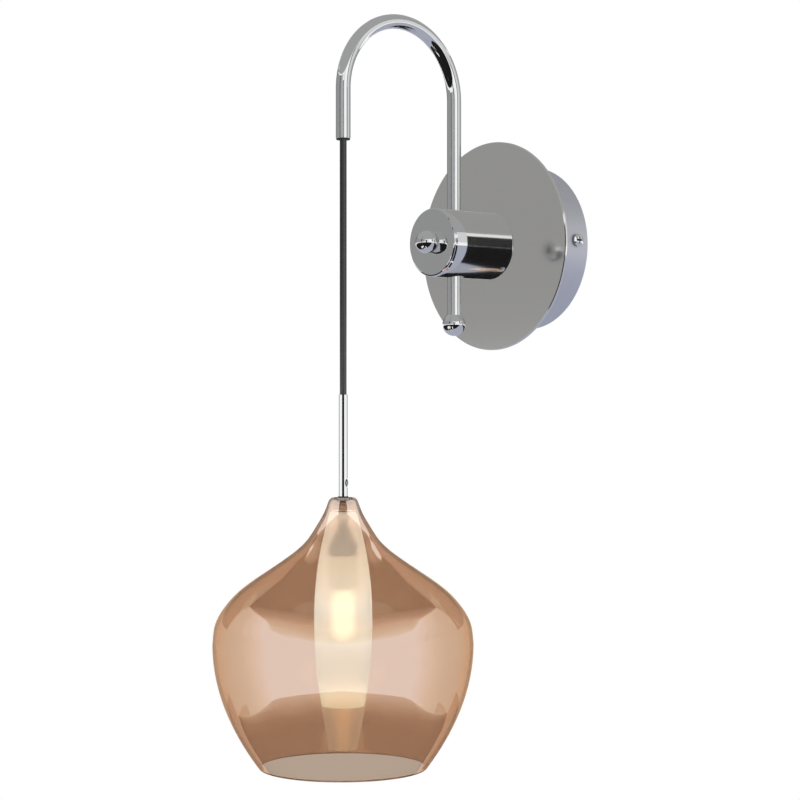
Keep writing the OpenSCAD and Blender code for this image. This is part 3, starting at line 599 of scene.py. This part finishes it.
def shadeLine():
    s = shade
    bellyZ = s["top"] - s["belly"]
    start = s["top"] - s["neckDrop"]
    corner = s["neck"] - s["neckRound"] - 0.25
    line = [(s["hole"], s["top"]), (3.5, s["top"])]
    for k in range(9):
        turn = math.radians(90 - 8 * k)
        line.append((
            corner + s["neckRound"] * math.cos(turn),
            s["top"] - s["neckRound"] * (1 - math.sin(turn)),
        ))
    for fall, grow in smoothLine(s["flare"], 6):
        line.append((s["neck"] + (s["widest"] - s["neck"]) * grow, start + (bellyZ - start) * fall))
    drop = rimDrop(s["height"] - s["belly"], s["widest"] - s["rim"], s["wall"])
    for k in range(1, 33):
        u = k / 32
        line.append((s["widest"] - (s["widest"] - s["rim"]) * u * u, bellyZ - drop * u))
    return line


def copperGlass(name, mirror):
    # tinted glass with a thin mirror film on it
    material, g = newMaterial(name)
    cloud = g.noise(9, 2)
    fine = g.noise(70, 2, (1, 1, 0.4))
    glass = g.principled({
        "Base Color": (*shade["tint"], 1),
        "Roughness": 0.0,
        "Transmission Weight": 1.0,
        "IOR": 1.12,
    })
    film = g.principled({
        "Base Color": g.mixColour(cloud, (1.0, 0.90, 0.84), (0.97, 0.87, 0.81)),
        "Metallic": 1.0,
        "Roughness": 0.01 + 0.015 * fine,
        "Specular Tint": (0.75, 0.52, 0.38, 1),
    })
    g.surface(g.add("ShaderNodeMixShader", {}, {0: mirror + 0.03 * cloud, 1: glass, 2: film}))
    return material


shadePiece = turnGlass("outerShade", shadeLine(), shade["sides"])
copperFaces = [copperGlass("copperOuter", shade["mirror"]), copperGlass("copperInner", 0.0)]
glassWall(shadePiece, shade["wall"], *copperFaces)
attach(shadePiece, "pendant")
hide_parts("shade")


inner = {
    "top": -158.4, "topRadius": 8.0, "belly": 61.0, "widest": 16.75, "rim": 12.25,
    "height": 112.0, "wall": 1.6, "sides": 96, "hole": 2.25,
}


def innerLine():
    s = inner
    bellyZ = s["top"] - s["belly"]
    line = [(s["hole"], s["top"]), (s["topRadius"] - 1.2, s["top"]), (s["topRadius"] - 0.4, s["top"] - 0.35)]
    for k in range(24, 0, -1):
        u = k / 24
        line.append((s["widest"] - (s["widest"] - s["topRadius"]) * u * u, bellyZ + (s["belly"] - 1.2) * u))
    drop = rimDrop(s["height"] - s["belly"], s["widest"] - s["rim"], s["wall"])
    for k in range(25):
        u = k / 24
        line.append((s["widest"] - (s["widest"] - s["rim"]) * u * u, bellyZ - drop * u))
    return line


def frostedGlassPaintedGlow(name, strength):
    # painted light: the frosted glass glows, brighter and darker by height, in place of the bulb's light
    # passing through it
    material, g = newMaterial(name)
    height = g.add("ShaderNodeSeparateXYZ", {}, {"Vector": g.place()}, "Z")
    low, high = (inner["top"] - inner["height"]) * mm, inner["top"] * mm
    share = g.add("ShaderNodeMapRange", {}, {"Value": height, "From Min": low, "From Max": high})
    light = g.ramp(share, [
        (0.0, (0.30, 0.34, 0.29)), (0.07, (0.26, 0.29, 0.25)), (0.14, (0.07, 0.09, 0.06)),
        (0.28, (0.10, 0.13, 0.11)), (0.40, (0.21, 0.29, 0.33)), (0.51, (0.44, 0.56, 0.66)),
        (0.66, (0.42, 0.46, 0.46)), (0.85, (0.37, 0.40, 0.41)), (1.0, (0.32, 0.33, 0.34)),
    ], "B_SPLINE")
    fine = g.noise(1600, 3)
    g.surface(g.principled({
        "Base Color": (0.97, 0.95, 0.90, 1),
        "Roughness": 0.42 + 0.06 * fine,
        "Transmission Weight": 0.85,
        "IOR": 1.3,
        "Emission Color": light,
        "Emission Strength": strength,
        "Normal": g.bump(fine, 0.2, 0.00003),
    }))
    return material


innerPiece = turnGlass("innerGlass", innerLine(), inner["sides"])
frostedFaces = [
    frostedGlassPaintedGlow("frostedOuter", glow["innerGlass"]),
    frostedGlassPaintedGlow("frostedInner", glow["innerFace"]),
]
glassWall(innerPiece, inner["wall"], *frostedFaces)
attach(innerPiece, "pendant")
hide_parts("inner_glass")
print("glass ready")


studio = {
    "floor": -0.95, "floorReach": 2.2, "world": 0.55, "centre": (0.0, -0.10), "facing": -40.66,
    "lamps": [("keyLamp", (0.9, -1.5, 1.3), 1.2, 9.0), ("fillLamp", (-1.3, -1.1, 0.5), 1.4, 6.0)],
    "lampsAim": (0.0, -0.1, -0.1),
    "keptOutOfMirrors": [
        "holder", "holder_cap", "holder_grub", "nipple", "nipple_nut", "lock_washer", "feed_wires",
        "clamp_pad", "clamp_stud", "arm_liner", "liner_clips", "link_wires", "arm_tube", "arm_lead",
        "cord_bush", "end_ball",
    ],
}

# what the chrome and the coated glass see round them: angles in degrees from the camera's side,
# outlines in metres from the pendant's axis (towards the camera, to its right)
cards = {
    "bandReach": 1.3,
    "bands": [
        (-180, -128, 0.0, 0.6, 0.2), (-128, -57, -0.06, 0.6, 0.31), (-56, -46, 0.0, 0.6, 0.03),
        (-46, -25, 0.0, 0.6, 0.32), (-25, -7, 0.0, 0.6, 0.5), (-6, 6, -0.15, 0.42, 0.015),
        (7, 20, 0.0, 0.6, 0.7), (56, 66, 0.0, 0.6, 0.06), (67, 98, 0.0, 0.6, 0.7),
        (98, 122, 0.0, 0.6, 0.47), (122, 180, 0.0, 0.6, 0.28),
    ],
    "ceiling": {"reach": 2.6, "height": 1.2, "tone": 0.37},
    "stem": {
        "reach": 0.05, "heights": (-0.1526, -0.09), "darkTo": 28, "lightTo": 112,
        "dark": 0.004, "light": 1.0, "back": 0.2,
    },
    "neckLevel": -0.153, "layer": 0.0001,
    # the flat cards at the neck: name, reach, layer, tone, span, the side that is seen
    "flat": [
        ("lightHood", (0.1, 1.2), 3, (1.0, 1.0, 1.0), (-62, 62), "lower"),
        ("backHood", (0.03, 1.2), 1, (0.46, 0.34, 0.25), (110, 250), "lower"),
        ("darkBench", (0.02, 1.25), 0, (0.012, 0.012, 0.012), (-150, 60), "upper"),
        ("sideBench", (0.02, 1.25), 0, (0.40, 0.42, 0.50), (60, 210), "upper"),
    ],
    "baseLevel": -0.47, "baseDrop": 0.0005, "baseTone": (0.012, 0.012, 0.012),
    "warmReach": (0.18, 1.2), "warmSpan": (100, 260),
    "sideReach": 0.45, "ringReach": (0.1, 1.2), "lowRing": 0.2,
    "backSpan": (124, 236), "backStep": -0.40, "warm": (0.76, 0.62, 0.46), "lowWarm": (0.50, 0.36, 0.25),
    "hoodSteps": [
        ((0.42, 0.33, 0.25), [
            (-0.017, 0.1155), (-0.0105, 0.080), (-0.0115, 0.059), (-0.0165, 0.0465), (-0.011, 0.0405),
            (-0.003, 0.0385), (0.007, 0.029), (0.014, 0.013), (0.0165, 0.0),
        ]),
        ((0.012, 0.012, 0.012), [
            (-0.0165, 0.116), (-0.010, 0.080), (-0.011, 0.059), (-0.016, 0.047), (-0.010, 0.041),
            (-0.001, 0.040), (0.012, 0.033), (0.020, 0.018), (0.0235, 0.0),
        ]),
        ((0.02, 0.015, 0.012), [
            (-0.017, 0.116), (0.011, 0.098), (0.033, 0.085), (0.047, 0.073), (0.058, 0.061),
            (0.064, 0.048), (0.071, 0.037), (0.078, 0.018), (0.079, 0.0),
        ]),
        ((0.28, 0.20, 0.15), [
            (-0.003, 0.115), (0.030, 0.104), (0.045, 0.092), (0.059, 0.079), (0.070, 0.066),
            (0.078, 0.053), (0.088, 0.041), (0.097, 0.020), (0.099, 0.0),
        ]),
        ((0.60, 0.47, 0.36), [
            (0.004, 0.115), (0.040, 0.108), (0.059, 0.100), (0.072, 0.087), (0.087, 0.075),
            (0.101, 0.063), (0.113, 0.050), (0.125, 0.025), (0.131, 0.0),
        ]),
        ((0.78, 0.69, 0.55), [
            (0.008, 0.114), (0.044, 0.108), (0.077, 0.116), (0.094, 0.106), (0.112, 0.092),
            (0.132, 0.080), (0.164, 0.071), (0.194, 0.039), (0.196, 0.0),
        ]),
        ((1.0, 1.0, 1.0), [
            (0.010, 0.114), (0.045, 0.108), (0.105, 0.146), (0.152, 0.152), (0.189, 0.148),
            (0.216, 0.135), (0.292, 0.120), (0.380, 0.080), (0.440, 0.0),
        ]),
    ],
    "warmHood": [
        ((0.30, 0.20, 0.135), [
            (-0.022, 0.0), (-0.020, 0.020), (-0.010, 0.041), (-0.016, 0.047), (-0.011, 0.059),
            (-0.010, 0.080), (-0.017, 0.116),
        ]),
        ((0.40, 0.29, 0.20), [
            (-0.030, 0.0), (-0.035, 0.031), (-0.04, 0.045), (-0.05, 0.06), (-0.05, 0.08), (-0.05, 0.10),
            (-0.046, 0.146),
        ]),
        ((0.42, 0.32, 0.23), [
            (-0.7, 0.0), (-0.7, 0.1), (-0.7, 0.2), (-0.7, 0.35), (-0.7, 0.5), (-0.55, 0.6), (-0.36, 0.62),
        ]),
    ],
    "base": [(-0.2, 0.0), (-0.2, 0.2), (-0.223, 0.254), (-0.252, 0.308), (-0.245, 0.373), (-0.221, 0.384)],
    "baseSteps": [
        ((0.015, 0.012, 0.01), [
            (-0.225, 0.348), (-0.153, 0.287), (-0.062, 0.264), (0.023, 0.245), (0.066, 0.234),
            (0.100, 0.219), (0.141, 0.197), (0.179, 0.164), (0.210, 0.128), (0.237, 0.064), (0.249, 0.0),
        ]),
        ((0.10, 0.07, 0.05), [
            (-0.222, 0.358), (-0.105, 0.329), (-0.008, 0.305), (0.076, 0.288), (0.109, 0.267),
            (0.141, 0.248), (0.178, 0.220), (0.214, 0.181), (0.253, 0.144), (0.289, 0.074), (0.303, 0.0),
        ]),
        ((0.33, 0.24, 0.18), [
            (-0.220, 0.373), (-0.093, 0.356), (0.018, 0.346), (0.097, 0.332), (0.144, 0.309),
            (0.171, 0.289), (0.223, 0.251), (0.264, 0.208), (0.307, 0.166), (0.350, 0.085), (0.366, 0.0),
        ]),
        ((0.62, 0.54, 0.44), [
            (-0.221, 0.384), (-0.095, 0.366), (0.019, 0.360), (0.096, 0.363), (0.171, 0.370),
            (0.235, 0.354), (0.299, 0.311), (0.354, 0.262), (0.397, 0.205), (0.453, 0.105), (0.476, 0.0),
        ]),
    ],
    "sideTones": [
        (62, (1.0, 1.0, 1.0)), (70, (0.97, 0.90, 0.85)), (80, (0.85, 0.79, 0.67)), (92, (0.73, 0.67, 0.55)),
        (108, (0.69, 0.62, 0.50)), (124, (0.69, 0.62, 0.50)),
    ],
}
pendantSpot = (0, cord["axis"])


def whiteWorld():
    world = bpy.data.worlds.new("studio")
    scene.world = world
    world.use_nodes = True
    world.node_tree.nodes.clear()
    g = Graph(world.node_tree)
    path = g.add("ShaderNodeLightPath", out="Is Camera Ray")
    mirrored = g.other(path, "Is Glossy Ray").calc("MAXIMUM", g.other(path, "Is Transmission Ray"))
    level = studio["world"] + (1 - studio["world"]) * path.calc("MAXIMUM", mirrored)
    g.add("ShaderNodeOutputWorld", {}, {
        "Surface": g.add("ShaderNodeBackground", {}, {"Color": (1, 1, 1, 1), "Strength": level}),
    })


def paleFloor():
    material, g = newMaterial("paleFloor")
    path = g.add("ShaderNodeLightPath", out="Is Camera Ray")
    mirrored = g.other(path, "Is Glossy Ray").calc("MAXIMUM", g.other(path, "Is Transmission Ray"))
    grain = g.noise(30, 3)
    lit = g.principled({
        "Base Color": g.mixColour(grain, (0.88, 0.88, 0.88), (0.86, 0.86, 0.86)),
        "Roughness": 0.9,
    })
    plain = g.add("ShaderNodeEmission", {}, {"Color": (1, 1, 1, 1), "Strength": 1.0})
    g.surface(g.add("ShaderNodeMixShader", {}, {0: (0.8 * path).calc("MAXIMUM", mirrored), 1: lit, 2: plain}))
    mesh = bpy.data.meshes.new("floor")
    z, far = studio["floor"], studio["floorReach"]
    mesh.from_pydata([(-far, -far, z), (far, -far, z), (far, far, z), (-far, far, z)], [], [(0, 1, 2, 3)])
    mesh.materials.append(material)
    link("floor", mesh)


def makeLamps():
    for name, place, size, power in studio["lamps"]:
        data = bpy.data.lights.new(name, "AREA")
        data.size = size
        data.energy = power
        lamp = bpy.data.objects.new(name, data)
        lamp.location = place
        aim = Vector(place) - Vector(studio["lampsAim"])
        lamp.rotation_euler = aim.to_track_quat("Z", "Y").to_euler()
        lamp.visible_glossy = False
        lamp.visible_transmission = False
        scene.collection.objects.link(lamp)


def cardMaterial(name, tone, oneSided, firstOnly):
    # firstOnly: not seen in a mirror's mirror
    material, g = newMaterial(name)
    plain = g.add("ShaderNodeEmission", {}, {"Color": (*tone, 1), "Strength": 1.0})
    if oneSided:
        back = g.add("ShaderNodeNewGeometry", out="Backfacing")
        if firstOnly:
            deep = g.add("ShaderNodeLightPath", out="Ray Depth").calc("GREATER_THAN", 1.5)
            back = back.calc("MAXIMUM", deep)
        plain = g.add("ShaderNodeMixShader", {}, {0: back, 1: plain, 2: g.add("ShaderNodeBsdfTransparent")})
    g.surface(plain)
    return material


def addCard(name, places, faces, tone, oneSided=False, firstOnly=False):
    # a flag or a reflector of the studio, seen by mirrors only
    mesh = bpy.data.meshes.new(name)
    mesh.from_pydata(places, [], faces)
    mesh.materials.append(cardMaterial(name, tone, oneSided, firstOnly))
    card = link(name, mesh)
    for ray in ("camera", "diffuse", "transmission", "volume_scatter", "shadow"):
        setattr(card, f"visible_{ray}", False)
    return card


def spotAt(centre, radius, turn, z):
    # turn in degrees from the camera's side, growing to its right
    turn = math.radians(studio["facing"] + turn)
    return (centre[0] + radius * math.cos(turn), centre[1] + radius * math.sin(turn), z)


def besidePendant(outline, z):
    # the outline is the right half; the left half mirrors it
    turn = math.radians(studio["facing"])
    whole = list(outline) + [(a, -b) for a, b in reversed(outline)]
    return [
        (a * math.cos(turn) - b * math.sin(turn), cord["axis"] + a * math.sin(turn) + b * math.cos(turn), z)
        for a, b in whole
    ]


def gradedCard(name, rows, tones, oneSided=False, firstOnly=False):
    # rows of places, each with its own tone
    places = [place for row in rows for place in row]
    count = len(rows[0])
    faces = [
        (a, a + 1, a + count + 1, a + count)
        for r in range(len(rows) - 1) for a in range(r * count, r * count + count - 1)
    ]
    card = addCard(name, places, faces, (1, 1, 1), oneSided, firstOnly)
    toneOf = card.data.attributes.new("tone", "FLOAT_COLOR", "POINT")
    for k, item in enumerate(toneOf.data):
        item.color = (*tones[k // count], 1)
    tree = card.data.materials[0].node_tree
    source = Graph(tree).add("ShaderNodeAttribute", {"attribute_name": "tone"}, out="Color")
    lamp = next(node for node in tree.nodes if node.type == "EMISSION")
    tree.links.new(source.socket, lamp.inputs["Color"])


def gradedOutline(name, steps, z, lowerSideOnly=False):
    # the rows go inwards where only the lower side is to be seen
    steps = steps[::-1] if lowerSideOnly else steps
    rows = [besidePendant(outline, z) for tone, outline in steps]
    gradedCard(name, rows, [tone for tone, outline in steps], lowerSideOnly)


def gradedSide(name, side, low, high):
    # a standing part of a cylinder seen from within, with flat rings above and below it
    near, far = cards["ringReach"]
    heights, reach = ((low, high), (far, near)) if side > 0 else ((high, low), (near, far))
    turns = [side * turn for turn, tone in cards["sideTones"]]
    tones = [tone for turn, tone in cards["sideTones"]]
    wide = cards["sideReach"]
    rows = [[spotAt(pendantSpot, wide, turn, z) for z in heights] for turn in turns]
    above = [[spotAt(pendantSpot, r, turn, high) for r in reach] for turn in turns]
    under = low - cards["baseDrop"]
    below = [[spotAt(pendantSpot, r, turn, under) for r in (cards["lowRing"], wide)] for turn in turns]
    gradedCard(name, rows, tones, True, True)
    gradedCard(name + "Above", above, tones, True)
    gradedCard(name + "Below", below, tones)


def standingCard(name, centre, radius, span, heights, tone, innerSideOnly=False):
    start, end = span
    steps = max(2, round(abs(end - start) / 4))
    places = [
        spotAt(centre, radius, start + (end - start) * k / steps, z)
        for k in range(steps + 1) for z in heights
    ]
    order = (0, 1, 3, 2) if end > start else (0, 2, 3, 1)
    faces = [tuple(2 * k + n for n in order) for k in range(steps)]
    addCard(name, places, faces, tone, innerSideOnly, innerSideOnly)


def roundCard(name, centre, reach, z, tone, span=(-180, 180), side="both"):
    # a flat ring, or part of one, seen from both sides or from one
    start, end = span
    steps = round((end - start) / 5)
    places = [
        spotAt(centre, radius, start + (end - start) * k / steps, z)
        for k in range(steps + 1) for radius in reach
    ]
    faces = [(2 * k, 2 * k + 1, 2 * k + 3, 2 * k + 2) for k in range(steps)]
    if side == "lower":
        faces = [face[::-1] for face in faces]
    addCard(name, places, faces, tone, side != "both")


def grey(level):
    return (level, level, level)


def neckLayer(k):
    # flat cards at the neck lie in thin layers, the benches on top
    return cards["neckLevel"] - k * cards["layer"]


def makeFarCards():
    for k, (start, end, low, high, level) in enumerate(cards["bands"]):
        standingCard(f"band{k}", studio["centre"], cards["bandReach"], (start, end), (low, high), grey(level))
    ceiling = cards["ceiling"]
    roundCard("ceiling", studio["centre"], (0.0, ceiling["reach"]), ceiling["height"], grey(ceiling["tone"]))


def makeStemCards():
    stem = cards["stem"]
    reach, heights, dark, light = stem["reach"], stem["heights"], stem["darkTo"], stem["lightTo"]
    standingCard("stemDark", pendantSpot, reach, (-dark, dark), heights, grey(stem["dark"]), True)
    standingCard("stemSide", pendantSpot, reach, (light, 360 - light), heights, grey(stem["back"]), True)
    for side in (-1, 1):
        span = (side * dark, side * light)
        standingCard(f"stemLight{side}", pendantSpot, reach, span, heights, grey(stem["light"]), True)


def makeShadeCards():
    base, wide = cards["baseLevel"], cards["sideReach"]
    gradedOutline("darkHood", cards["hoodSteps"], neckLayer(5), True)
    gradedOutline("warmHood", cards["warmHood"], neckLayer(6), True)
    for name, reach, layer, tone, span, side in cards["flat"]:
        roundCard(name, pendantSpot, reach, neckLayer(layer), tone, span, side)
    darkBase = besidePendant(cards["base"] + cards["baseSteps"][0][1], base)
    addCard("darkBase", darkBase, [tuple(range(len(darkBase)))], cards["baseTone"])
    gradedOutline("baseEdge", cards["baseSteps"], base)
    lowBase = base - cards["baseDrop"]
    roundCard("warmBase", pendantSpot, cards["warmReach"], lowBase, cards["lowWarm"], cards["warmSpan"])
    for side in (-1, 1):
        gradedSide(f"shadeSide{side}", side, base, neckLayer(2))
    step = cards["backStep"]
    standingCard("shadeBack", pendantSpot, wide, cards["backSpan"], (step, neckLayer(1)), cards["warm"], True)
    standingCard("shadeLow", pendantSpot, wide, cards["backSpan"], (base, step), cards["lowWarm"], True)


whiteWorld()
paleFloor()
makeLamps()
makeFarCards()
makeStemCards()
makeShadeCards()
for name in studio["keptOutOfMirrors"]:
    nodes[name].visible_glossy = False
print("studio ready")

scene.view_settings.view_transform = "Standard"
